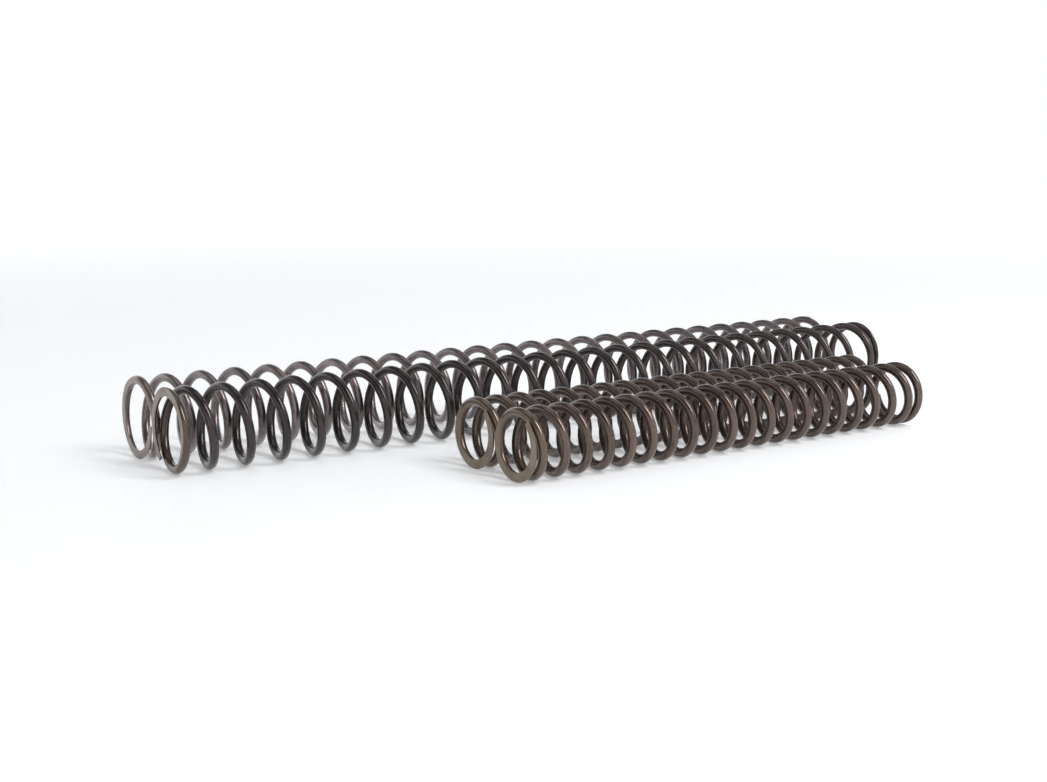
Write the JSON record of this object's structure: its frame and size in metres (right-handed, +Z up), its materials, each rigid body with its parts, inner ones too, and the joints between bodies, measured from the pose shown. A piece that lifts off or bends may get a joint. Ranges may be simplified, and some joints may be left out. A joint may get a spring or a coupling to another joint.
{
  "type": "suspension fork spring",
  "caption": "Long and short pairs of loose fork springs: open-pitch round-wire compression coils, right-hand wound, with closed and ground ends.",
  "frame": {"origin": "on the ground, midway between the outermost springs and midway along the long ones", "axes": "+X along the springs from their near ends to their far ends, +Z up from the ground the springs lie on, +Y towards the long pair"},
  "size_m": [0.358, 0.1438, 0.032],
  "materials": {
    "long_spring_wire": "dark oil-tempered spring steel, satin",
    "short_spring_wire": "bronze-brown tempered spring steel, satin"
  },
  "bodies": {
    "long_spring_rear": {"long_spring_rear_near_end": "long_spring_wire", "long_spring_rear_active_coils": "long_spring_wire"},
    "long_spring_rear_far": {"long_spring_rear_far_end": "long_spring_wire"},
    "long_spring_front": {"long_spring_front_near_end": "long_spring_wire", "long_spring_front_active_coils": "long_spring_wire"},
    "long_spring_front_far": {"long_spring_front_far_end": "long_spring_wire"},
    "short_spring_rear": {"short_spring_rear_near_end": "short_spring_wire", "short_spring_rear_active_coils": "short_spring_wire"},
    "short_spring_rear_far": {"short_spring_rear_far_end": "short_spring_wire"},
    "short_spring_front": {"short_spring_front_near_end": "short_spring_wire", "short_spring_front_active_coils": "short_spring_wire"},
    "short_spring_front_far": {"short_spring_front_far_end": "short_spring_wire"}
  },
  "joints": [
    {"name": "long_spring_front_lift", "type": "slide", "parent": "long_spring_rear", "child": "long_spring_front", "axis": [0, 0, 1], "range_m": [0, 0.05]},
    {"name": "short_spring_rear_lift", "type": "slide", "parent": "long_spring_rear", "child": "short_spring_rear", "axis": [0, 0, 1], "range_m": [0, 0.05]},
    {"name": "short_spring_front_lift", "type": "slide", "parent": "long_spring_rear", "child": "short_spring_front", "axis": [0, 0, 1], "range_m": [0, 0.05]},
    {"name": "long_spring_rear_compress", "type": "slide", "parent": "long_spring_rear", "child": "long_spring_rear_far", "axis": [-1, 0, 0], "range_m": [0, 0.2], "stiffness_N_per_m": 2292, "deforming": ["long_spring_rear_active_coils"]},
    {"name": "long_spring_front_compress", "type": "slide", "parent": "long_spring_front", "child": "long_spring_front_far", "axis": [-1, 0, 0], "range_m": [0, 0.2], "stiffness_N_per_m": 2292, "deforming": ["long_spring_front_active_coils"]},
    {"name": "short_spring_rear_compress", "type": "slide", "parent": "short_spring_rear", "child": "short_spring_rear_far", "axis": [-1, 0, 0], "range_m": [0, 0.11], "stiffness_N_per_m": 6401, "deforming": ["short_spring_rear_active_coils"]},
    {"name": "short_spring_front_compress", "type": "slide", "parent": "short_spring_front", "child": "short_spring_front_far", "axis": [-1, 0, 0], "range_m": [0, 0.11], "stiffness_N_per_m": 6401, "deforming": ["short_spring_front_active_coils"]}
  ]
}
